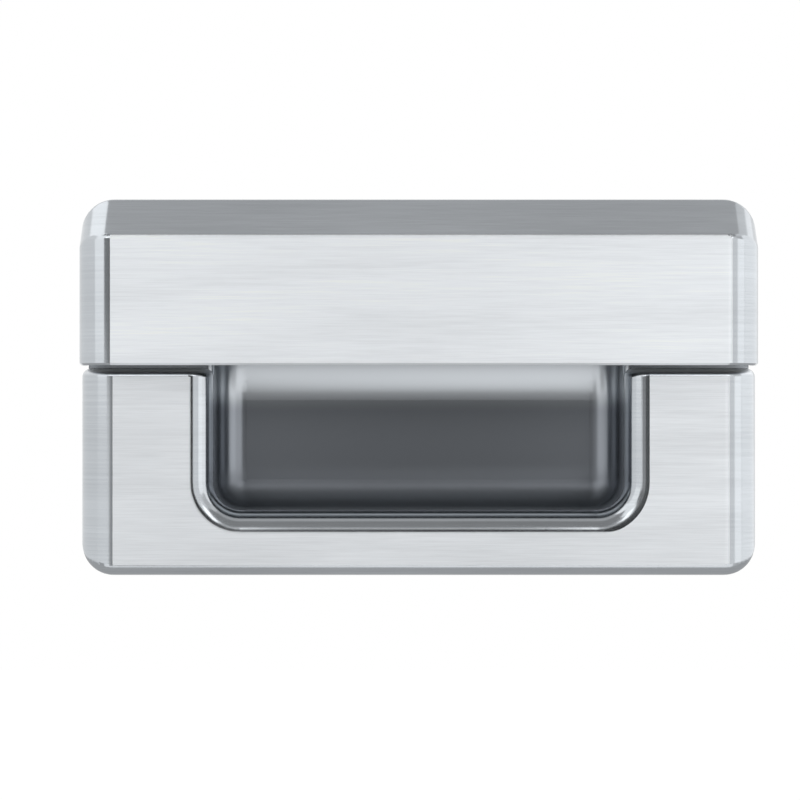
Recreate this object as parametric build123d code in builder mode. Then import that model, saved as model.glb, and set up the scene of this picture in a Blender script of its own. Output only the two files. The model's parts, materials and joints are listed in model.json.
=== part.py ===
"""Recessed pull in brushed stainless sheet: a face pan with a drawn finger cup, and a hood above the cup.

X runs along the width and Z up. The back of the pull lies on a panel at Y = 0, its front looks towards -Y,
and the finger cup goes through the panel towards +Y. The origin is the middle of the outline on the panel.
"""

import os

from build123d import *

os.makedirs("parts", exist_ok=True)

# Outline and sheet
width = 130.0
height = 72.0
end_radius = 6.6
sheet = 1.2

# Lower face plate of the pan
plate_rise = 7.0
plate_top = 3.6
bottom_bend = 2.2
step_bend = 1.7

# Drawn finger cup
cup_width = 79.2
cup_back = 15.0
cup_floor = -23.7
cup_bend = 5.4
scoop_start = -2.5
plate_lip = 4.4
flange_lip = 1.2

# Hood
hood_rise = 11.0
slope_height = 7.3
slope_depth = 6.6
crease_bend = 1.5
edge_break = 0.4

# Weld studs
stud_radius = 2.0
stud_reach = 16.0
stud_tip = 0.5
stud_edge_x = 14.0
stud_edge_z = 11.0

# Clearances
hood_gap = 0.5
weld_gap = 0.1

# Levels and extents that follow from the sizes above
half_width = width / 2
half_height = height / 2
hood_bottom = plate_top + hood_gap
cup_half = cup_width / 2
scoop_radius = cup_back + sheet
scoop_top = scoop_start + scoop_radius
deep = cup_back + 2 * sheet
stud_row = half_height - stud_edge_z
stud_column = half_width - stud_edge_x
up_and_out = Vector(0, -1, 1)
tolerance = 0.01


def plate_block(inset):
    """Lower face plate as a solid, with its skin moved in by inset and its ends rounded."""
    front = -plate_rise + inset
    floor = -half_height + inset
    top = plate_top - inset
    with BuildPart() as block:
        with BuildSketch(Plane.YZ):
            with Locations(((front + deep) / 2, (floor + top) / 2)):
                Rectangle(deep - front, top - floor)
        extrude(amount=half_width - inset, both=True)
        back_and_top = block.faces().sort_by(Axis.Y)[-1].edges() + block.faces().sort_by(Axis.Z)[-1].edges()
        fillet(block.faces().filter_by(Axis.X).edges() - back_and_top, end_radius - inset)
        crease = block.faces().sort_by(Axis.Y)[0].edges().sort_by(Axis.Z)[0]
        fillet(block.edges().filter_by(GeomType.ELLIPSE) + crease, bottom_bend - inset)
    return block.part


def cup_space(grow):
    """Room inside the finger cup, or the outside of the cup when grown by the sheet."""
    floor = cup_floor - grow
    back = cup_back + grow
    top = scoop_top + grow
    mouth = -2 * plate_rise
    with BuildPart() as space:
        with BuildSketch(Plane.YZ):
            with BuildLine():
                Polyline((-sheet, top), (mouth, top), (mouth, floor), (back, floor), (back, scoop_start))
                RadiusArc((back, scoop_start), (-sheet, top), -(scoop_radius + grow))
            make_face()
        extrude(amount=cup_half + grow, both=True)
        mouth_edges = space.faces().sort_by(Axis.Y)[0].edges()
        ends = space.faces().filter_by(Axis.X).edges()
        back_floor = space.edges().filter_by(Axis.X).group_by(Axis.Z)[0].sort_by(Axis.Y)[-1]
        fillet(ends - mouth_edges + back_floor, cup_bend + grow)
    return space.part


def mouth_rim(face, inset, low, high):
    """Edges of a front face round the mouth of the cup, between two heights."""
    side = cup_half + inset + tolerance
    return face.edges().filter_by_position(Axis.Z, low, high).filter_by_position(Axis.X, -side, side)


def plate_skin(inset):
    """Lower face plate with the cup taken out and its lip, and on the front the bend of the step."""
    with BuildPart() as skin:
        add(plate_block(inset))
        add(cup_space(inset), mode=Mode.SUBTRACT)
        front = skin.faces().sort_by(Axis.Y)[0]
        rim = mouth_rim(front, inset, cup_floor - inset - tolerance, plate_top - inset - tolerance)
        fillet(rim, plate_lip - inset)
        if not inset:
            step = skin.faces().sort_by(Axis.Z)[-1].edges() - skin.faces().sort_by(Axis.Y)[-1].edges()
            fillet(step, step_bend)
    return skin.part


def flange_skin(inset):
    """Flat flange behind the hood with the upper part of the cup taken out, and on the front its lip."""
    outline_half = half_width - sheet - weld_gap
    outline_top = half_height - sheet - weld_gap
    outline_bottom = plate_top - plate_lip
    with BuildPart() as skin:
        with BuildSketch(Plane.XZ.offset(sheet - inset)) as outline:
            with Locations((0, (outline_top + outline_bottom) / 2)):
                Rectangle(2 * outline_half, outline_top - outline_bottom)
            fillet(outline.vertices().group_by(Axis.Y)[-1], end_radius - sheet - weld_gap)
        extrude(amount=-(deep + sheet - inset))
        add(cup_space(inset), mode=Mode.SUBTRACT)
        if not inset:
            front = skin.faces().sort_by(Axis.Y)[0]
            rim = mouth_rim(front, inset, outline_bottom + tolerance, scoop_top + tolerance)
            fillet(rim, flange_lip)
    return skin.part


def hood_block(inset):
    """Hood as a solid, with its skin moved in by inset and its ends rounded."""
    reach = 2 * inset
    low = hood_bottom - reach
    slope_foot = half_height - slope_height
    with BuildPart() as block:
        with BuildSketch(Plane.YZ):
            with BuildLine():
                Polyline(
                    (reach, low),
                    (-hood_rise, low),
                    (-hood_rise, slope_foot),
                    (slope_depth - hood_rise, half_height),
                    (reach, half_height),
                    close=True,
                )
            make_face()
            if inset:
                offset(amount=-inset, kind=Kind.INTERSECTION, mode=Mode.REPLACE)
        extrude(amount=half_width - inset, both=True)
        open_sides = block.faces().sort_by(Axis.Y)[-1].edges() + block.faces().sort_by(Axis.Z)[0].edges()
        fillet(block.faces().filter_by(Axis.X).edges() - open_sides, end_radius - inset)
        flats = block.faces().filter_by(GeomType.PLANE)
        slope = flats.sort_by(lambda face: face.normal_at().dot(up_and_out))[-1]
        creases = block.edges().filter_by(GeomType.ELLIPSE) + slope.edges().filter_by(Axis.X)
        fillet(creases, crease_bend - inset)
    return block.part


# Face pan: one sheet, left between two skins that lie a sheet apart, and cut off level with the panel
with BuildPart() as face_pan:
    add(plate_skin(0))
    add(flange_skin(0))
    add(plate_skin(sheet), mode=Mode.SUBTRACT)
    add(flange_skin(sheet), mode=Mode.SUBTRACT)
    with BuildSketch(Plane.XZ):
        Rectangle(width, height)
        with Locations((0, (cup_floor + scoop_top) / 2)):
            Rectangle(cup_width + 2 * sheet, scoop_top - cup_floor + 2 * sheet, mode=Mode.SUBTRACT)
    extrude(amount=-deep, mode=Mode.SUBTRACT)
face_pan.part.label = "face_pan"
export_step(face_pan.part, "parts/face_pan.step")

# Hood: an open cap, with both corners of its lower edge broken for the fingers
with BuildPart() as hood:
    add(hood_block(0))
    add(hood_block(sheet), mode=Mode.SUBTRACT)
    grip = hood.faces().sort_by(Axis.Z)[0].edges() - hood.faces().sort_by(Axis.Y)[-1].edges()
    chamfer(grip, edge_break)
hood.part.label = "hood"
export_step(hood.part, "parts/hood.step")

# Weld studs: each row stands on the back of the sheet that carries it, and all end at the same reach
stud_rows = {
    "upper_studs": (stud_row, 0.0),
    "lower_studs": (-stud_row, sheet - plate_rise),
}
for name, (row_height, seat) in stud_rows.items():
    with BuildPart() as studs:
        with BuildSketch(Plane.XZ.offset(-seat)):
            with Locations((-stud_column, row_height), (stud_column, row_height)):
                Circle(stud_radius)
        extrude(amount=seat - stud_reach)
        chamfer(studs.faces().sort_by(Axis.Y)[-2:].edges(), stud_tip)
    studs.part.label = name
    export_step(studs.part, f"parts/{name}.step")
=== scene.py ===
"""Looks of a recessed pull: brushed sheet steel, a smooth drawn cup, threaded studs and a white studio."""

import json
import math

import bpy
from mathutils import Matrix, Vector

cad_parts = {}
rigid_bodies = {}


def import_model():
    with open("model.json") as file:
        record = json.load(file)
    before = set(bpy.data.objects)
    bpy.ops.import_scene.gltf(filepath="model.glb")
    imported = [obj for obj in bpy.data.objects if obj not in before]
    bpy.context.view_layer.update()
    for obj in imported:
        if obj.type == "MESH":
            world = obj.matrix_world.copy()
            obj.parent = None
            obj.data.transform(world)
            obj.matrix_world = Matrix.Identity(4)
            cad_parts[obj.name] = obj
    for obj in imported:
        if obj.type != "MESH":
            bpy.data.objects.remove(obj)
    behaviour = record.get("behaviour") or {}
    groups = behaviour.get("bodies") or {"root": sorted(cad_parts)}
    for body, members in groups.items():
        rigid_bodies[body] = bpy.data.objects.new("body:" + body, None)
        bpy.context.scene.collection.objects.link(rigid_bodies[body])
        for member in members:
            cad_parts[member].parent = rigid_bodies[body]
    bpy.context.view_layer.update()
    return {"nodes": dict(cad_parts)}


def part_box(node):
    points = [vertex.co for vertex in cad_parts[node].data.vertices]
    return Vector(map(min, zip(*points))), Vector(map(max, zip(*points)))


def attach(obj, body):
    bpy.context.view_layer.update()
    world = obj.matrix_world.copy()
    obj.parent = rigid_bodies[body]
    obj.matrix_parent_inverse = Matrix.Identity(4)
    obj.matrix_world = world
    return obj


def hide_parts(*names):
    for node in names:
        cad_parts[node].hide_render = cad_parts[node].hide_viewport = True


for leftover in list(bpy.data.objects):
    bpy.data.objects.remove(leftover)
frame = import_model()

bl_info = {
    "name": "Recessed Pull",
    "version": (1, 0, 0),
    "blender": (4, 5, 0),
    "location": "View3D > Sidebar > Pull",
    "description": "Dresses a recessed pull in brushed steel and sets it in a white studio",
    "category": "Object",
}

BODY = "root"
MM = 0.001

# Brush lines are two noises stretched along the width, and the drift is a third that changes the tone slowly
LONG_LINES = {"scale": 0.5, "detail": 3.0, "roughness": 0.6}
SHORT_LINES = {"scale": 2.0, "detail": 2.0, "roughness": 0.5}
LONG_SHARE = 0.6
DRIFT = {"scale": 1.0, "detail": 2.0, "roughness": 0.5}
DRIFT_STRETCH = (20.0, 20.0, 120.0)
# Most of a noise lies in this range, which the lines and the drift turn into these changes of the finish
NOISE_RANGE = (0.3, 0.7)
STREAK_LIGHT = (0.95, 1.04)
DRIFT_LIGHT = (0.96, 1.03)
ROUGHNESS_SPREAD = 0.04

# Share of the full tilt at which the brushing starts to fade, and the rise over which it is back at the step
TILT_FADE = 0.5
STEP_FADE = 1.8 * MM
# Depth over which the sheet takes the look of the cup, heights over which painted shade darkens the cup, and
# heights over which the cup gets rougher
DEEP_FADE = 4 * MM
CUP_SHADE_START = 0.0
CUP_SHADE_END = -5 * MM
BOTTOM_START = -14 * MM
BOTTOM_END = -20 * MM
# The upright direction that spreads reflections leans back a little, so it is never square to a level face
LEAN_BACK = 0.2
# Facets of a bend lie within about 4 degrees of the smooth surface: a normal that strays further is a fault
STRAY_ANGLE = math.radians(10)

STUD_ROWS = {"upper_threads": "upper_studs", "lower_threads": "lower_studs"}
THREAD_STEPS = 28
THREAD_SMOOTH_ANGLE = math.radians(40)
# Turns that the thread is cut longer at each end before it is trimmed
SPARE_TURNS = 3
BEAD_SEGMENTS = 4
# Points closer than this share of the pitch become one
MERGE_SHARE = 0.001
# Faces look along a direction from this cosine on
FACING_LIMIT = 0.99
# Turns an upright rod towards +Y
TO_BACK = (math.radians(-90), 0, 0)
# Painted shade in the thread's roots: share of the stud colour left there
ROOT_SHADE = 0.35
GRAIN = {"scale": 4000.0, "detail": 3.0, "roughness": 0.6}
GRAIN_ROUGHNESS = (0.28, 0.42)

FLOOR_GLOW = 0.72
FLOOR_GREY = (0.5, 0.5, 0.5, 1)
WHITE = (1, 1, 1, 1)
SENSOR_WIDTH = 36
CLIP_START = 0.01

# Reflection cards and the lamp as seen from the pull: azimuth from left to right of the camera and elevation
# from low to high, both in degrees, then the distance in metres and the tone, where 1 is white
CARDS = {
    # Dark cards round the camera, for the back of the cup and the lines where the flats end
    "upper_flag_card": (-32, -9, 1.2, 13, 0.50, 0.22),
    "lower_flag_card": (-25, -9, -24, 1.2, 0.50, 0.42),
    "centre_left_card": (-9, 0, -13, 18, 0.51, 0.12),
    "centre_right_card": (0, 14, -13, 18, 0.51, 0.055),
    # Over the camera, for the brushed flats, with a dimmer middle
    "ceiling_left_card": (-30, -7, 17, 28, 0.66, 2.2),
    "ceiling_middle_card": (-7, 7, 17, 28, 0.66, 0.7),
    "ceiling_right_card": (7, 30, 17, 28, 0.66, 2.5),
    "ceiling_high_card": (-40, 40, 28, 74, 0.66, 0.35),
    # At the sides, for the rounded ends and the sides of the lip
    "right_fill_card": (14, 44, -50, 35, 0.64, 1.03),
    "right_key_card": (44, 68, -13, 13, 0.62, 1.5),
    "right_high_card": (44, 68, 13, 37, 0.62, 0.75),
    "right_low_card": (44, 68, -50, -13, 0.62, 0.75),
    "right_side_card": (69, 135, -40, 40, 0.63, 1.37),
    "right_top_card": (60, 120, 38, 54, 0.70, 0.93),
    "left_upper_strip_card": (-62, -24, 1.2, 40, 0.64, 1.38),
    "left_lower_strip_card": (-62, -24, -12, 1.2, 0.64, 1.08),
    "left_low_card": (-62, -24, -45, -12, 0.64, 0.52),
    "left_side_card": (-120, -64, -40, 40, 0.66, 1.02),
    "left_top_card": (-120, -60, 38, 66, 0.70, 1.5),
    # Below the camera, for the scooped top of the cup
    "bounce_left_card": (-42, 0, -44, -13, 0.54, 1.20),
    "bounce_right_card": (0, 42, -44, -13, 0.54, 1.31),
}
LAMPS = {
    "key_lamp": (-30, 10, 45, 75, 0.90, 1.0),
}
# Level cards for the hood's slope and the plate's bottom bend: height, left, right, front and back edges in
# metres, and the tone
LEVEL_CARDS = {
    "overhead_card": (0.60, -0.26, 0.43, -0.30, 0.60, 0.614),
    "under_card": (-0.055, -0.15, 0.15, -0.035, 0.15, 0.574),
}

# Vector calculations that give a single value
SINGLE_VALUES = ("LENGTH", "DOT_PRODUCT")
# Places of the first input, the second input and the result of a mix node for each kind of value
MIX_SOCKETS = {"VECTOR": (4, 5, 1), "RGBA": (6, 7, 2)}


class SheetSettings(bpy.types.PropertyGroup):
    """Finish of the sheet: flat faces brushed along the width, bends and cup smooth as pressed."""

    face_colour: bpy.props.FloatVectorProperty(
        name="Face colour",
        description="Colour of the brushed flat faces",
        subtype="COLOR",
        default=(0.925, 0.953, 0.98),
        min=0,
        max=1,
    )
    pan_tone: bpy.props.FloatProperty(
        name="Tone of the pan",
        description="Lightness of the pan's brushed faces against those of the hood",
        subtype="FACTOR",
        default=0.92,
        min=0,
        max=1,
    )
    face_roughness: bpy.props.FloatProperty(
        name="Face roughness",
        description="Mean roughness of the brushed flat faces",
        subtype="FACTOR",
        default=0.58,
        min=0,
        max=1,
    )
    bend_colour: bpy.props.FloatVectorProperty(
        name="Bend colour",
        description="Colour of the smooth sheet on the bends and in the upper cup",
        subtype="COLOR",
        default=(0.502, 0.529, 0.556),
        min=0,
        max=1,
    )
    # Painted shade: the cup's colour is darker than the bends' to stand in for the shade deep in the cup
    # under the hood
    cup_painted_shade_colour: bpy.props.FloatVectorProperty(
        name="Cup colour with painted shade",
        description="Colour of the smooth sheet deep in the cup",
        subtype="COLOR",
        default=(0.257, 0.275, 0.302),
        min=0,
        max=1,
    )
    bend_roughness: bpy.props.FloatProperty(
        name="Bend roughness",
        description="Roughness of the smooth sheet on the bends",
        subtype="FACTOR",
        default=0.15,
        min=0,
        max=1,
    )
    cup_roughness: bpy.props.FloatProperty(
        name="Cup roughness",
        description="Roughness of the smooth sheet deep in the cup",
        subtype="FACTOR",
        default=0.28,
        min=0,
        max=1,
    )
    bottom_roughness: bpy.props.FloatProperty(
        name="Bottom roughness",
        description="Roughness of the sheet at the bottom of the cup, where it was drawn the most",
        subtype="FACTOR",
        default=0.40,
        min=0,
        max=1,
    )
    brushing: bpy.props.FloatProperty(
        name="Brushing",
        description="How far the brush lines spread a reflection upright",
        subtype="FACTOR",
        default=0.5,
        min=0,
        max=1,
    )
    streak_length: bpy.props.FloatProperty(
        name="Streak length",
        description="Length of a brush line",
        unit="LENGTH",
        default=16 * MM,
    )
    streak_width: bpy.props.FloatProperty(
        name="Streak width",
        description="Width of a brush line",
        unit="LENGTH",
        default=0.35 * MM,
    )
    streak_depth: bpy.props.FloatProperty(
        name="Streak depth",
        description="Depth of a brush line",
        unit="LENGTH",
        default=0.004 * MM,
    )
    brushed_to: bpy.props.FloatProperty(
        name="Brushed to",
        description="Depth behind which no face is brushed",
        unit="LENGTH",
        default=-3 * MM,
    )
    tilt_left: bpy.props.FloatProperty(
        name="Tilt left",
        description="How far the sheet may turn to the left before its brushing has ended",
        subtype="ANGLE",
        default=math.radians(2.6),
    )
    tilt_right: bpy.props.FloatProperty(
        name="Tilt right",
        description="How far the sheet may turn to the right before its brushing has ended",
        subtype="ANGLE",
        default=math.radians(9),
    )
    pan_tilt: bpy.props.FloatProperty(
        name="Tilt of the pan",
        description="How far the pan may turn up or down before its brushing has ended",
        subtype="ANGLE",
        default=math.radians(9),
    )
    pan_over: bpy.props.FloatProperty(
        name="Brushed over the step",
        description="Height above which the pan is brushed wherever it turns, over its step under the hood",
        unit="LENGTH",
        default=1.9 * MM,
    )
    hood_tilt_up: bpy.props.FloatProperty(
        name="Tilt up of the hood",
        description="How far the crease of the hood may turn up before its brushing has ended",
        subtype="ANGLE",
        default=math.radians(34),
    )
    hood_tilt_down: bpy.props.FloatProperty(
        name="Tilt down of the hood",
        description="How far the lower edge of the hood may turn down before its brushing has ended",
        subtype="ANGLE",
        default=math.radians(89),
    )
    hood_over: bpy.props.FloatProperty(
        name="Brushed over the slope",
        description="Height above which the hood is brushed wherever it turns: far above it, so nowhere",
        unit="LENGTH",
        default=1.0,
    )


class StudSettings(bpy.types.PropertyGroup):
    """Thread and foot of the weld studs."""

    pitch: bpy.props.FloatProperty(
        name="Pitch",
        description="Rise of the thread in one turn",
        unit="LENGTH",
        default=0.7 * MM,
    )
    thread_depth: bpy.props.FloatProperty(
        name="Thread depth",
        description="From the crest of the thread to its root",
        unit="LENGTH",
        default=0.42 * MM,
    )
    crest_share: bpy.props.FloatProperty(
        name="Crest",
        description="Flat at the crest as a share of the pitch",
        subtype="FACTOR",
        default=0.125,
    )
    root_share: bpy.props.FloatProperty(
        name="Root",
        description="Flat at the root as a share of the pitch",
        subtype="FACTOR",
        default=0.25,
    )
    tip_chamfer: bpy.props.FloatProperty(
        name="Tip chamfer",
        description="Chamfer at the free end",
        unit="LENGTH",
        default=0.5 * MM,
    )
    weld_width: bpy.props.FloatProperty(
        name="Weld width",
        description="How far the weld bead stands out at the foot",
        unit="LENGTH",
        default=0.35 * MM,
    )
    colour: bpy.props.FloatVectorProperty(
        name="Stud colour",
        description="Colour of the studs",
        subtype="COLOR",
        default=(0.62, 0.61, 0.59),
        min=0,
        max=1,
    )


class StageSettings(bpy.types.PropertyGroup):
    """Floor, room and camera."""

    floor_drop: bpy.props.FloatProperty(
        name="Floor drop",
        description="How far the floor lies below the origin",
        unit="LENGTH",
        default=0.4,
    )
    floor_size: bpy.props.FloatProperty(
        name="Floor size",
        description="Length of a side of the floor",
        unit="LENGTH",
        default=6.0,
    )
    room_light: bpy.props.FloatProperty(
        name="Room light",
        description="Level of the white surroundings as a source of light",
        subtype="FACTOR",
        default=0.6,
    )
    camera_distance: bpy.props.FloatProperty(
        name="Camera distance",
        description="From the camera to the plane at the aim depth",
        unit="LENGTH",
        default=0.45,
    )
    camera_aside: bpy.props.FloatProperty(
        name="Camera aside",
        description="How far the camera stands to the left of the middle",
        unit="LENGTH",
        default=3.6 * MM,
    )
    camera_below: bpy.props.FloatProperty(
        name="Camera below",
        description="How far the camera stands below the middle",
        unit="LENGTH",
        default=2.5 * MM,
    )
    aim_depth: bpy.props.FloatProperty(
        name="Aim depth",
        description="Depth of the plane that the camera distance counts from",
        unit="LENGTH",
        default=-4.8 * MM,
    )
    lens: bpy.props.FloatProperty(
        name="Lens",
        description="Focal length in millimetres",
        unit="CAMERA",
        default=105.7,
    )


def feed(tree, socket, value):
    """Links a socket to another one, or sets its value."""
    if isinstance(value, bpy.types.NodeSocket):
        tree.links.new(value, socket)
    else:
        socket.default_value = value


def math_node(tree, operation, *values):
    """A calculation with numbers."""
    node = tree.nodes.new("ShaderNodeMath")
    node.operation = operation
    for socket, value in zip(node.inputs, values):
        feed(tree, socket, value)
    return node.outputs[0]


def vector_node(tree, operation, *values):
    """A calculation with vectors."""
    node = tree.nodes.new("ShaderNodeVectorMath")
    node.operation = operation
    for socket, value in zip(node.inputs, values):
        feed(tree, socket, value)
    return node.outputs["Value" if operation in SINGLE_VALUES else "Vector"]


def range_node(tree, value, low, high, to_low=0.0, to_high=1.0):
    """A smooth change from one number to another while a value goes from low to high."""
    node = tree.nodes.new("ShaderNodeMapRange")
    node.interpolation_type = "SMOOTHSTEP"
    limits = {"Value": value, "From Min": low, "From Max": high, "To Min": to_low, "To Max": to_high}
    for name, limit in limits.items():
        feed(tree, node.inputs[name], limit)
    return node.outputs[0]


def noise_node(tree, vector, scale, detail, roughness):
    """A noise at a place."""
    node = tree.nodes.new("ShaderNodeTexNoise")
    settings = {"Vector": vector, "Scale": scale, "Detail": detail, "Roughness": roughness}
    for name, setting in settings.items():
        feed(tree, node.inputs[name], setting)
    return node.outputs[0]


def mix_node(tree, kind, factor, first, second, blend="MIX"):
    """A mix of two vectors or two colours."""
    node = tree.nodes.new("ShaderNodeMix")
    node.data_type = kind
    node.blend_type = blend
    first_place, second_place, result_place = MIX_SOCKETS[kind]
    feed(tree, node.inputs[0], factor)
    feed(tree, node.inputs[first_place], first)
    feed(tree, node.inputs[second_place], second)
    return node.outputs[result_place]


def group_node(tree, group, values):
    """A node group at work in a tree, with its inputs linked or set, as its outputs."""
    node = tree.nodes.new("ShaderNodeGroup")
    node.node_tree = group
    for name, value in values.items():
        feed(tree, node.inputs[name], value)
    return node.outputs


def opaque(colour):
    """A colour with full alpha."""
    return (*colour, 1.0)


def new_group(name, inputs, outputs):
    """A shader node group with its sockets, what it is given and where it puts its results."""
    tree = bpy.data.node_groups.new(name, "ShaderNodeTree")
    for label, kind in inputs.items():
        tree.interface.new_socket(label, in_out="INPUT", socket_type=kind)
    for label, kind in outputs.items():
        tree.interface.new_socket(label, in_out="OUTPUT", socket_type=kind)
    given = tree.nodes.new("NodeGroupInput").outputs
    put = tree.nodes.new("NodeGroupOutput").inputs
    return tree, given, put


def brush_lines_group():
    """Brush lines along the width and round the ends as one value, and a slow drift of the finish."""
    found = bpy.data.node_groups.get("Brush lines")
    if found:
        return found
    tree, given, put = new_group(
        "Brush lines",
        {"Vector": "NodeSocketVector", "Length": "NodeSocketFloat", "Width": "NodeSocketFloat"},
        {"Streak": "NodeSocketFloat", "Drift": "NodeSocketFloat"},
    )
    place = tree.nodes.new("ShaderNodeSeparateXYZ")
    tree.links.new(given["Vector"], place.inputs[0])
    round_ends = math_node(tree, "ADD", place.outputs["X"], place.outputs["Y"])
    along = math_node(tree, "DIVIDE", round_ends, given["Length"])
    across = math_node(tree, "DIVIDE", place.outputs["Z"], given["Width"])
    stretched = tree.nodes.new("ShaderNodeCombineXYZ")
    tree.links.new(along, stretched.inputs["X"])
    tree.links.new(across, stretched.inputs["Z"])
    long_lines = noise_node(tree, stretched.outputs[0], **LONG_LINES)
    short_lines = noise_node(tree, stretched.outputs[0], **SHORT_LINES)
    long_part = math_node(tree, "MULTIPLY", long_lines, LONG_SHARE)
    streak = math_node(tree, "MULTIPLY_ADD", short_lines, 1 - LONG_SHARE, long_part)
    drift = noise_node(tree, vector_node(tree, "MULTIPLY", given["Vector"], DRIFT_STRETCH), **DRIFT)
    tree.links.new(streak, put["Streak"])
    tree.links.new(drift, put["Drift"])
    return tree


def sound_normal_group():
    """The smooth normal of a sheet, or the flat one at a corner where the mesh's smooth normal is faulty."""
    found = bpy.data.node_groups.get("Sound normal")
    if found:
        return found
    tree, given, put = new_group(
        "Sound normal",
        {"Smooth": "NodeSocketVector", "Flat": "NodeSocketVector"},
        {"Normal": "NodeSocketVector"},
    )
    likeness = vector_node(tree, "DOT_PRODUCT", given["Smooth"], given["Flat"])
    strays = math_node(tree, "LESS_THAN", likeness, math.cos(STRAY_ANGLE))
    tree.links.new(mix_node(tree, "VECTOR", strays, given["Smooth"], given["Flat"]), put["Normal"])
    return tree


def brushed_faces_group():
    """Where a sheet is brushed, where it lies deep, where low enough to take the cup's painted shade and
    where at the bottom, each from 0 to 1.
    """
    found = bpy.data.node_groups.get("Brushed faces")
    if found:
        return found
    tree, given, put = new_group(
        "Brushed faces",
        {
            "Vector": "NodeSocketVector",
            "Normal": "NodeSocketVector",
            "Tilt left": "NodeSocketFloat",
            "Tilt right": "NodeSocketFloat",
            "Tilt up": "NodeSocketFloat",
            "Tilt down": "NodeSocketFloat",
            "Over": "NodeSocketFloat",
            "Depth": "NodeSocketFloat",
        },
        {
            "Brushed": "NodeSocketFloat",
            "Deep": "NodeSocketFloat",
            "Painted shade": "NodeSocketFloat",
            "Bottom": "NodeSocketFloat",
        },
    )
    place = tree.nodes.new("ShaderNodeSeparateXYZ")
    tree.links.new(given["Vector"], place.inputs[0])
    depth = place.outputs["Y"]
    height = place.outputs["Z"]
    normal = tree.nodes.new("ShaderNodeSeparateXYZ")
    tree.links.new(given["Normal"], normal.inputs[0])

    # The tilt counts as a share of what each side allows, 1 on an oval round the normal of the flats
    turns = {
        "Tilt left": math_node(tree, "MULTIPLY", normal.outputs["X"], -1.0),
        "Tilt right": normal.outputs["X"],
        "Tilt up": normal.outputs["Z"],
        "Tilt down": math_node(tree, "MULTIPLY", normal.outputs["Z"], -1.0),
    }
    shares = {
        name: math_node(tree, "DIVIDE", turn, math_node(tree, "SINE", given[name]))
        for name, turn in turns.items()
    }
    tilt = tree.nodes.new("ShaderNodeCombineXYZ")
    tree.links.new(math_node(tree, "MAXIMUM", shares["Tilt left"], shares["Tilt right"]), tilt.inputs["X"])
    tree.links.new(math_node(tree, "MAXIMUM", shares["Tilt up"], shares["Tilt down"]), tilt.inputs["Z"])
    share = vector_node(tree, "LENGTH", tilt.outputs[0])
    on_flats = range_node(tree, share, TILT_FADE, 1.0, 1.0, 0.0)
    step_end = math_node(tree, "ADD", given["Over"], STEP_FADE)
    over_step = range_node(tree, height, given["Over"], step_end)
    faces_front = math_node(tree, "LESS_THAN", normal.outputs["Y"], 0.0)
    lies_front = math_node(tree, "LESS_THAN", depth, given["Depth"])
    front = math_node(tree, "MULTIPLY", faces_front, lies_front)
    brushed = math_node(tree, "MULTIPLY", front, math_node(tree, "MAXIMUM", on_flats, over_step))

    deep_end = math_node(tree, "ADD", given["Depth"], DEEP_FADE)
    tree.links.new(brushed, put["Brushed"])
    tree.links.new(range_node(tree, depth, given["Depth"], deep_end), put["Deep"])
    tree.links.new(range_node(tree, height, CUP_SHADE_START, CUP_SHADE_END), put["Painted shade"])
    tree.links.new(range_node(tree, height, BOTTOM_START, BOTTOM_END), put["Bottom"])
    return tree


def new_material(name):
    """A material with an empty tree, and the socket that takes its surface."""
    material = bpy.data.materials.new(name)
    material.use_nodes = True
    tree = material.node_tree
    tree.nodes.clear()
    return material, tree, tree.nodes.new("ShaderNodeOutputMaterial").inputs["Surface"]


def new_metal(name):
    """A metal with its tree and its shader."""
    material, tree, surface = new_material(name)
    shader = tree.nodes.new("ShaderNodeBsdfPrincipled")
    shader.inputs["Metallic"].default_value = 1.0
    tree.links.new(shader.outputs[0], surface)
    return material, tree, shader


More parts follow.
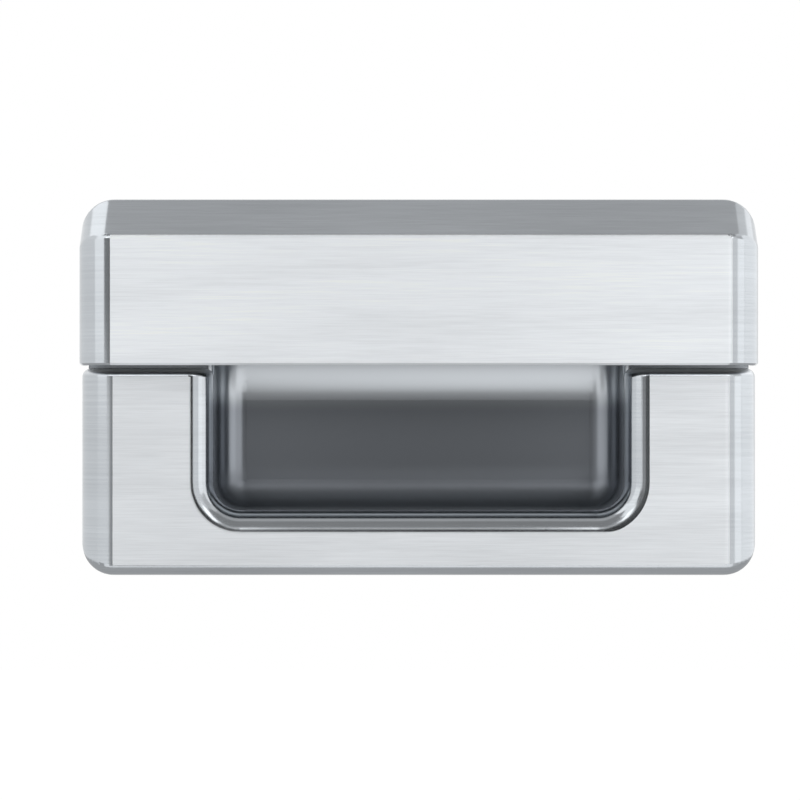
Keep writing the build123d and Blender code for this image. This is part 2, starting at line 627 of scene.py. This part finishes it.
def brushed_sheet(name, sheet, tone, tilt_up, tilt_down, over):
    """Steel sheet, brushed along the width on its faces and smooth on its bends and in the cup."""
    material, tree, shader = new_metal(name)
    place = tree.nodes.new("ShaderNodeTexCoord").outputs["Object"]
    shape = tree.nodes.new("ShaderNodeNewGeometry").outputs
    sound = group_node(
        tree, sound_normal_group(), {"Smooth": shape["Normal"], "Flat": shape["True Normal"]}
    )
    normal = sound["Normal"]
    lines = group_node(
        tree,
        brush_lines_group(),
        {"Vector": place, "Length": sheet.streak_length, "Width": sheet.streak_width},
    )
    streak = lines["Streak"]
    faces = group_node(
        tree,
        brushed_faces_group(),
        {
            "Vector": place,
            "Normal": normal,
            "Tilt left": sheet.tilt_left,
            "Tilt right": sheet.tilt_right,
            "Tilt up": tilt_up,
            "Tilt down": tilt_down,
            "Over": over,
            "Depth": sheet.brushed_to,
        },
    )
    brushed = faces["Brushed"]
    deep = faces["Deep"]

    # Painted shade: deep and low in the cup the colour turns darker, standing in for the shade that the hood
    # casts
    cup_painted_shade = math_node(tree, "MULTIPLY", deep, faces["Painted shade"])
    colour = mix_node(tree, "RGBA", cup_painted_shade, opaque(sheet.bend_colour), opaque(sheet.cup_painted_shade_colour))
    face_colour = [tone * channel for channel in sheet.face_colour]
    colour = mix_node(tree, "RGBA", brushed, colour, opaque(face_colour))
    streak_light = range_node(tree, streak, *NOISE_RANGE, *STREAK_LIGHT)
    drift_light = range_node(tree, lines["Drift"], *NOISE_RANGE, *DRIFT_LIGHT)
    light = math_node(tree, "MULTIPLY", streak_light, drift_light)
    grey = tree.nodes.new("ShaderNodeCombineColor")
    for channel in grey.inputs:
        tree.links.new(light, channel)
    lined = mix_node(tree, "RGBA", 1.0, colour, grey.outputs[0], "MULTIPLY")
    outside = math_node(tree, "SUBTRACT", 1.0, deep)
    tree.links.new(mix_node(tree, "RGBA", outside, colour, lined), shader.inputs["Base Color"])

    rough = sheet.face_roughness + ROUGHNESS_SPREAD
    smooth = sheet.face_roughness - ROUGHNESS_SPREAD
    face_roughness = range_node(tree, streak, *NOISE_RANGE, rough, smooth)
    cup_roughness = range_node(tree, faces["Bottom"], 0.0, 1.0, sheet.cup_roughness, sheet.bottom_roughness)
    bend_roughness = range_node(tree, deep, 0.0, 1.0, sheet.bend_roughness, cup_roughness)
    roughness = range_node(tree, brushed, 0.0, 1.0, bend_roughness, face_roughness)
    tree.links.new(roughness, shader.inputs["Roughness"])

    bump = tree.nodes.new("ShaderNodeBump")
    bump.inputs["Strength"].default_value = 1.0
    bump.inputs["Distance"].default_value = sheet.streak_depth
    tree.links.new(math_node(tree, "MULTIPLY", streak, brushed), bump.inputs["Height"])
    tree.links.new(normal, bump.inputs["Normal"])
    tree.links.new(bump.outputs[0], shader.inputs["Normal"])
    upright = tree.nodes.new("ShaderNodeCombineXYZ")
    upright.inputs["Y"].default_value = LEAN_BACK
    upright.inputs["Z"].default_value = 1.0
    tree.links.new(upright.outputs[0], shader.inputs["Tangent"])
    shader.inputs["Anisotropic"].default_value = sheet.brushing
    return material


def thread_steel(studs, column, row, crest_radius):
    """Plain steel of the studs, with painted shade down in the thread."""
    material, tree, shader = new_metal("stud_thread_steel")
    place = tree.nodes.new("ShaderNodeTexCoord").outputs["Object"]
    folded = vector_node(tree, "ABSOLUTE", place)
    flat = vector_node(tree, "MULTIPLY", folded, (1.0, 0.0, 1.0))
    radius = vector_node(tree, "LENGTH", vector_node(tree, "SUBTRACT", flat, (column, 0.0, row)))
    # Painted shade: the colour darkens from the crest down to the root of the thread
    crest = range_node(tree, radius, crest_radius - studs.thread_depth, crest_radius)
    root_painted_shade = [ROOT_SHADE * channel for channel in studs.colour]
    colour = mix_node(tree, "RGBA", crest, opaque(root_painted_shade), opaque(studs.colour))
    tree.links.new(colour, shader.inputs["Base Color"])
    grain = noise_node(tree, place, **GRAIN)
    tree.links.new(range_node(tree, grain, *NOISE_RANGE, *GRAIN_ROUGHNESS), shader.inputs["Roughness"])
    return material


def give_material(piece, material):
    """Puts a material in all of a piece's slots."""
    if not piece.material_slots:
        piece.data.materials.append(material)
    for slot in piece.material_slots:
        slot.material = material


def start_mesh(add, **sizes):
    """Adds a primitive with nothing else selected, and returns its object."""
    bpy.ops.object.select_all(action="DESELECT")
    add(**sizes)
    return bpy.context.active_object


def apply_modifier(piece, kind, **settings):
    """Adds a modifier to a piece and applies it."""
    bpy.context.view_layer.objects.active = piece
    modifier = piece.modifiers.new(kind.title(), kind)
    for name, value in settings.items():
        setattr(modifier, name, value)
    bpy.ops.object.modifier_apply(modifier=modifier.name)


def join_pieces(first, second):
    """Makes the second piece a part of the first."""
    bpy.ops.object.select_all(action="DESELECT")
    first.select_set(True)
    second.select_set(True)
    bpy.context.view_layer.objects.active = first
    bpy.ops.object.join()


def thread_core(studs, foot, tip, crest_radius):
    """A thread that begins a turn before the foot and ends a turn beyond the tip, closed at both ends."""
    root_radius = crest_radius - studs.thread_depth
    flank = studs.pitch * (1 - studs.crest_share - studs.root_share) / 2
    weld = studs.pitch * MERGE_SHARE
    core = start_mesh(bpy.ops.mesh.primitive_plane_add, size=studs.pitch, location=foot)
    bpy.ops.object.mode_set(mode="EDIT")
    bpy.ops.mesh.select_mode(type="VERT")
    bpy.ops.mesh.select_all(action="SELECT")
    bpy.ops.mesh.merge(type="CENTER")
    bpy.ops.transform.translate(value=(root_radius, -SPARE_TURNS * studs.pitch, 0))
    for move in (
        (0, studs.pitch * studs.root_share, 0),
        (studs.thread_depth, flank, 0),
        (0, studs.pitch * studs.crest_share, 0),
        (-studs.thread_depth, flank, 0),
    ):
        bpy.ops.mesh.extrude_vertices_move(TRANSFORM_OT_translate={"value": move})
    bpy.ops.object.mode_set(mode="OBJECT")
    turns = math.ceil((tip - foot.y) / studs.pitch) + 2 * SPARE_TURNS
    apply_modifier(
        core,
        "SCREW",
        axis="Y",
        screw_offset=studs.pitch,
        iterations=turns,
        steps=THREAD_STEPS,
        render_steps=THREAD_STEPS,
        use_merge_vertices=True,
        merge_threshold=weld,
    )
    bpy.ops.object.mode_set(mode="EDIT")
    for level, keep_beyond in ((foot.y - studs.pitch, True), (tip + studs.pitch, False)):
        bpy.ops.mesh.select_all(action="SELECT")
        bpy.ops.mesh.bisect(
            plane_co=(foot.x, level, foot.z),
            plane_no=(0, 1, 0),
            use_fill=True,
            clear_inner=keep_beyond,
            clear_outer=not keep_beyond,
            threshold=weld,
        )
    bpy.ops.mesh.select_all(action="SELECT")
    bpy.ops.mesh.remove_doubles(threshold=weld)
    bpy.ops.mesh.normals_make_consistent(inside=False)
    bpy.ops.object.mode_set(mode="OBJECT")
    return core


def select_faces_towards(mesh, direction):
    """Selects the faces of a mesh in edit mode that look in one direction."""
    bpy.ops.mesh.select_all(action="DESELECT")
    bpy.ops.object.mode_set(mode="OBJECT")
    for face in mesh.polygons:
        face.select = face.normal.dot(direction) > FACING_LIMIT
    bpy.ops.object.mode_set(mode="EDIT")


def bevelled_rod(foot, length, radius, sides, rim, segments):
    """A rod that stands on its foot and points towards +Y, with its far rim bevelled."""
    rod = start_mesh(
        bpy.ops.mesh.primitive_cylinder_add,
        vertices=sides,
        radius=radius,
        depth=length,
        location=(foot.x, foot.y + length / 2, foot.z),
        rotation=TO_BACK,
    )
    bpy.ops.object.transform_apply(location=False, rotation=True, scale=True)
    bpy.ops.object.mode_set(mode="EDIT")
    bpy.ops.mesh.select_mode(type="FACE")
    select_faces_towards(rod.data, Vector((0, 1, 0)))
    bpy.ops.mesh.bevel(offset=rim, segments=segments, affect="EDGES")
    bpy.ops.object.mode_set(mode="OBJECT")
    return rod


def threaded_stud(studs, foot, tip, crest_radius):
    """One stud: its thread, trimmed at the foot and at the chamfered tip, on its bead of weld."""
    core = thread_core(studs, foot, tip, crest_radius)
    # The room of the stud is wider than its thread by the thread's depth, so it trims nothing but the ends
    room = bevelled_rod(
        foot,
        length=tip - foot.y,
        radius=crest_radius + studs.thread_depth,
        sides=4 * THREAD_STEPS,
        rim=studs.tip_chamfer + studs.thread_depth,
        segments=1,
    )
    apply_modifier(core, "BOOLEAN", operation="INTERSECT", object=room, solver="EXACT")
    bpy.data.objects.remove(room)
    bead = bevelled_rod(
        foot,
        length=2 * studs.weld_width,
        radius=crest_radius + studs.weld_width,
        sides=THREAD_STEPS,
        rim=studs.weld_width,
        segments=BEAD_SEGMENTS,
    )
    join_pieces(core, bead)
    bpy.ops.object.transform_apply(location=True, rotation=True, scale=True)
    bpy.ops.object.shade_smooth_by_angle(angle=THREAD_SMOOTH_ANGLE)
    return core


class PULL_OT_dress_face_pan(bpy.types.Operator):
    """Gives the face pan its brushed front and its smooth cup"""

    bl_idname = "pull.dress_face_pan"
    bl_label = "Dress face pan"

    def execute(self, context):
        sheet = context.scene.pull_sheet
        steel = brushed_sheet(
            "pan_sheet_brushed",
            sheet,
            tone=sheet.pan_tone,
            tilt_up=sheet.pan_tilt,
            tilt_down=sheet.pan_tilt,
            over=sheet.pan_over,
        )
        give_material(frame["nodes"]["face_pan"], steel)
        return {"FINISHED"}


class PULL_OT_dress_hood(bpy.types.Operator):
    """Gives the hood its brushed finish"""

    bl_idname = "pull.dress_hood"
    bl_label = "Dress hood"

    def execute(self, context):
        sheet = context.scene.pull_sheet
        steel = brushed_sheet(
            "hood_sheet_brushed",
            sheet,
            tone=1.0,
            tilt_up=sheet.hood_tilt_up,
            tilt_down=sheet.hood_tilt_down,
            over=sheet.hood_over,
        )
        give_material(frame["nodes"]["hood"], steel)
        return {"FINISHED"}


class PULL_OT_thread_studs(bpy.types.Operator):
    """Cuts the thread on both rows of weld studs"""

    bl_idname = "pull.thread_studs"
    bl_label = "Thread studs"

    def execute(self, context):
        studs = context.scene.pull_studs
        material = None
        for name, node in STUD_ROWS.items():
            low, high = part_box(node)
            crest_radius = (high.z - low.z) / 2
            row = (low.z + high.z) / 2
            column = high.x - crest_radius
            if material is None:
                material = thread_steel(studs, column, abs(row), crest_radius)
            first = threaded_stud(studs, Vector((column, low.y, row)), high.y, crest_radius)
            second = first.copy()
            second.data = first.data.copy()
            second.data.transform(Matrix.Translation((-2 * column, 0, 0)))
            context.collection.objects.link(second)
            join_pieces(first, second)
            first.name = name
            give_material(first, material)
            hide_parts(node)
            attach(first, BODY)
        return {"FINISHED"}


def seen_directly(tree):
    """1 for what the camera sees, straight on, in metal or through glass, and 0 for light on a dull face."""
    path = tree.nodes.new("ShaderNodeLightPath")
    seen = math_node(tree, "MAXIMUM", path.outputs["Is Camera Ray"], path.outputs["Is Glossy Ray"])
    return math_node(tree, "MAXIMUM", seen, path.outputs["Is Transmission Ray"])


def white_room(level):
    """Surroundings that look white and give an even light."""
    world = bpy.data.worlds.new("white_room")
    world.use_nodes = True
    tree = world.node_tree
    background = tree.nodes["Background"]
    background.inputs["Color"].default_value = WHITE
    tree.links.new(range_node(tree, seen_directly(tree), 0, 1, level, 1.0), background.inputs["Strength"])
    return world


def floor_material():
    """Pale floor that looks white from above, takes a shadow, and is clear from below."""
    material, tree, surface = new_material("pale_floor")
    dull = tree.nodes.new("ShaderNodeBsdfDiffuse")
    dull.inputs["Color"].default_value = FLOOR_GREY
    glow = tree.nodes.new("ShaderNodeEmission")
    tree.links.new(math_node(tree, "MULTIPLY", seen_directly(tree), FLOOR_GLOW), glow.inputs["Strength"])
    pale = tree.nodes.new("ShaderNodeAddShader")
    tree.links.new(dull.outputs[0], pale.inputs[0])
    tree.links.new(glow.outputs[0], pale.inputs[1])
    clear = tree.nodes.new("ShaderNodeBsdfTransparent")
    side = tree.nodes.new("ShaderNodeNewGeometry")
    either = tree.nodes.new("ShaderNodeMixShader")
    tree.links.new(side.outputs["Backfacing"], either.inputs[0])
    tree.links.new(pale.outputs[0], either.inputs[1])
    tree.links.new(clear.outputs[0], either.inputs[2])
    tree.links.new(either.outputs[0], surface)
    return material


def card_material(name, tone):
    """Even tone of a reflection card."""
    material, tree, surface = new_material(name)
    glow = tree.nodes.new("ShaderNodeEmission")
    glow.inputs["Strength"].default_value = tone
    tree.links.new(glow.outputs[0], surface)
    return material


def facing(azimuth, elevation, distance):
    """Place and turn of a thing that looks at the origin from a direction, in degrees from the front."""
    aside = Matrix.Rotation(math.radians(azimuth), 4, "Z")
    upright = Matrix.Rotation(math.radians(90 - elevation), 4, "X")
    return aside @ upright @ Matrix.Translation((0, 0, distance))


def panel_sizes(left, right, low, high, distance):
    """Place, width and height of a flat panel that fills a range of directions seen from the pull."""
    place = facing((left + right) / 2, (low + high) / 2, distance)
    width = 2 * distance * math.tan(math.radians(right - left) / 2)
    height = 2 * distance * math.tan(math.radians(high - low) / 2)
    return place, width, height


def add_floor(stage):
    """The floor below the pull."""
    floor = start_mesh(
        bpy.ops.mesh.primitive_plane_add, size=stage.floor_size, location=(0, 0, -stage.floor_drop)
    )
    floor.name = "floor"
    give_material(floor, floor_material())


def add_card(name, place, width, height, tone):
    """A reflection card that only shows in the metal."""
    card = start_mesh(bpy.ops.mesh.primitive_plane_add, size=1)
    card.name = name
    card.data.transform(Matrix.Diagonal((width, height, 1, 1)))
    card.matrix_world = place
    card.visible_camera = False
    card.visible_shadow = False
    card.visible_diffuse = False
    give_material(card, card_material(name, tone))


def add_lamp(name, place, width, height, tone):
    """A soft lamp as bright as a card of the same tone, which doesn't show in the metal."""
    data = bpy.data.lights.new(name, "AREA")
    data.shape = "RECTANGLE"
    data.size = width
    data.size_y = height
    data.energy = tone * math.pi * width * height
    lamp = bpy.data.objects.new(name, data)
    bpy.context.collection.objects.link(lamp)
    lamp.matrix_world = place
    lamp.visible_camera = False
    lamp.visible_glossy = False


def add_camera(stage):
    """The camera, which looks at the front of the pull as in the photo."""
    data = bpy.data.cameras.new("photo_camera")
    data.lens = stage.lens
    data.sensor_width = SENSOR_WIDTH
    data.sensor_fit = "HORIZONTAL"
    data.clip_start = CLIP_START
    camera = bpy.data.objects.new("photo_camera", data)
    bpy.context.collection.objects.link(camera)
    camera.location = (-stage.camera_aside, stage.aim_depth - stage.camera_distance, -stage.camera_below)
    camera.rotation_euler = (math.radians(90), 0, 0)
    return camera


class PULL_OT_set_stage(bpy.types.Operator):
    """Sets the floor, lamp, reflection cards and camera round the pull"""

    bl_idname = "pull.set_stage"
    bl_label = "Set stage"

    def execute(self, context):
        stage = context.scene.pull_stage
        scene = context.scene
        scene.view_settings.view_transform = "Standard"
        scene.world = white_room(stage.room_light)
        add_floor(stage)
        for name, (*directions, tone) in CARDS.items():
            add_card(name, *panel_sizes(*directions), tone)
        for name, (level, left, right, front, back, tone) in LEVEL_CARDS.items():
            place = Matrix.Translation(((left + right) / 2, (front + back) / 2, level))
            add_card(name, place, right - left, back - front, tone)
        for name, (*directions, tone) in LAMPS.items():
            add_lamp(name, *panel_sizes(*directions), tone)
        scene.camera = add_camera(stage)
        return {"FINISHED"}


OPERATORS = (
    PULL_OT_dress_face_pan,
    PULL_OT_dress_hood,
    PULL_OT_thread_studs,
    PULL_OT_set_stage,
)

SETTINGS = {
    "pull_sheet": SheetSettings,
    "pull_studs": StudSettings,
    "pull_stage": StageSettings,
}


class PULL_PT_panel(bpy.types.Panel):
    """Lists the steps and the sizes and colours of the pull"""

    bl_idname = "PULL_PT_panel"
    bl_label = "Recessed pull"
    bl_space_type = "VIEW_3D"
    bl_region_type = "UI"
    bl_category = "Pull"

    def draw(self, context):
        for operator in OPERATORS:
            self.layout.operator(operator.bl_idname)
        for name, group in SETTINGS.items():
            box = self.layout.box()
            for setting in group.__annotations__:
                box.prop(getattr(context.scene, name), setting)


CLASSES = (*SETTINGS.values(), *OPERATORS, PULL_PT_panel)


def register():
    for group in CLASSES:
        bpy.utils.register_class(group)
    for name, group in SETTINGS.items():
        setattr(bpy.types.Scene, name, bpy.props.PointerProperty(type=group))


def unregister():
    for name in SETTINGS:
        delattr(bpy.types.Scene, name)
    for group in reversed(CLASSES):
        bpy.utils.unregister_class(group)


def main():
    register()
    bpy.ops.pull.dress_face_pan()
    bpy.ops.pull.dress_hood()
    bpy.ops.pull.thread_studs()
    bpy.ops.pull.set_stage()


if __name__ == "__main__":
    main()
